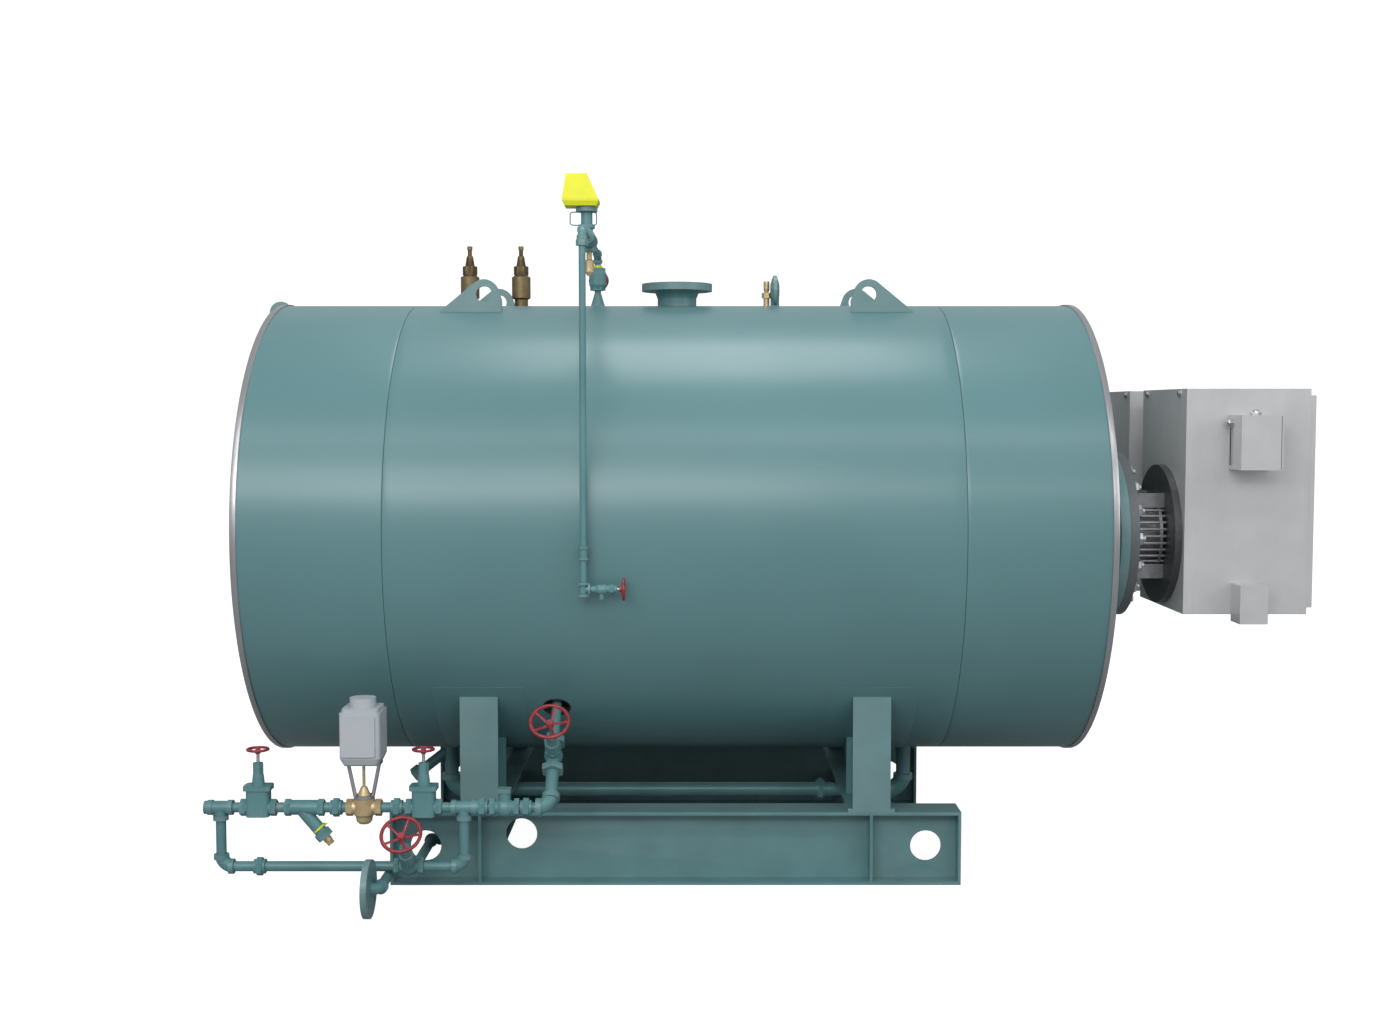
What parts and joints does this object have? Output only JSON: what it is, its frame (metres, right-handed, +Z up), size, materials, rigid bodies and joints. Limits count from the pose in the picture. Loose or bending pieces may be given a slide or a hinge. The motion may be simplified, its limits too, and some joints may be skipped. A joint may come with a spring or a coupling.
{
  "type": "electric steam boiler on a skid",
  "caption": "Horizontal insulated steam drum on saddles and a beam skid, with a screwed feed train, water column and flanged electric heaters.",
  "frame": {"origin": "on the floor under the middle of the drum, at the centre of the four anchor holes", "axes": "+X along the drum towards the heaters, +Z up, the feed train on the -Y side"},
  "size_m": [2.9683, 1.5389, 1.9343],
  "materials": {
    "teal_paint": "satin gloss",
    "jacket_paint": "gloss",
    "stainless": "brushed",
    "red_wheel": "gloss",
    "bronze": "cast and machined",
    "yellow_plastic": "moulded",
    "actuator_grey": "moulded",
    "yoke_alloy": "die cast",
    "cabinet_grey": "satin",
    "flange_grey": "satin",
    "element_metal": "drawn"
  },
  "bodies": {
    "boiler": {"actuator": "actuator_grey", "base_beam_front": "teal_paint", "base_beam_rear": "teal_paint", "base_cross_members": "teal_paint", "blowdown_header": "teal_paint", "blowdown_outlet": "teal_paint", "bypass_pipe": "teal_paint", "bypass_valve": "teal_paint", "cabinet_boxes": "cabinet_grey", "cabinet_discs": "element_metal", "cabinet_doors": "cabinet_grey", "check_valve": "teal_paint", "column_air_vent": "bronze", "column_drain_valve": "teal_paint", "column_run": "teal_paint", "column_top_valve": "teal_paint", "column_tube": "teal_paint", "control_valve": "bronze", "control_yoke": "yoke_alloy", "element_standoffs": "element_metal", "end_lifting_eye": "teal_paint", "feed_pipe": "teal_paint", "feed_stop_valve": "teal_paint", "gate_valve_left": "teal_paint", "gate_valve_right": "teal_paint", "heater_flanges": "flange_grey", "jacket_centre": "jacket_paint", "jacket_left": "jacket_paint", "jacket_right": "jacket_paint", "left_end_cover": "teal_paint", "lifting_lugs": "teal_paint", "probe_head": "yellow_plastic", "right_end_cover": "teal_paint", "saddle_left": "teal_paint", "saddle_right": "teal_paint", "safety_valves": "bronze", "standoff_straps": "element_metal", "steam_nozzle": "teal_paint", "strainer_plug": "bronze", "terminal_cabinets": "cabinet_grey", "trim_rings": "stainless", "vent_cock": "bronze", "vent_fitting": "teal_paint", "vessel_flanges": "teal_paint", "y_strainer": "teal_paint"},
    "gate_wheel_left": {"gate_wheel_left": "red_wheel"},
    "gate_wheel_right": {"gate_wheel_right": "red_wheel"},
    "bypass_wheel": {"bypass_wheel": "red_wheel"},
    "feed_stop_wheel": {"feed_stop_wheel": "red_wheel"},
    "column_top_wheel": {"column_top_wheel": "red_wheel"},
    "column_drain_wheel": {"column_drain_wheel": "red_wheel"}
  },
  "joints": [
    {"name": "gate_wheel_left_turn", "type": "hinge", "parent": "boiler", "child": "gate_wheel_left", "pos_m": [-1.092, -0.691, 0.413], "axis": [0, 0, 1], "range_deg": [0, 1440]},
    {"name": "gate_wheel_right_turn", "type": "hinge", "parent": "boiler", "child": "gate_wheel_right", "pos_m": [-0.658, -0.691, 0.413], "axis": [0, 0, 1], "range_deg": [0, 1440]},
    {"name": "bypass_wheel_turn", "type": "hinge", "parent": "boiler", "child": "bypass_wheel", "pos_m": [-0.699, -0.79707, 0.21307], "axis": [0, -0.7071, 0.7071], "range_deg": [0, 1080]},
    {"name": "feed_stop_wheel_turn", "type": "hinge", "parent": "boiler", "child": "feed_stop_wheel", "pos_m": [-0.327, -0.68377, 0.48336], "axis": [0, -0.7071, 0.7071], "range_deg": [0, 1080]},
    {"name": "column_top_wheel_turn", "type": "hinge", "parent": "boiler", "child": "column_top_wheel", "pos_m": [-0.237, 0.0455, 1.6955], "axis": [0, 1, 0], "range_deg": [0, 1440]},
    {"name": "column_drain_wheel_turn", "type": "hinge", "parent": "boiler", "child": "column_drain_wheel", "pos_m": [-0.1372, -0.69, 0.839], "axis": [1, 0, 0], "range_deg": [0, 1080]}
  ]
}
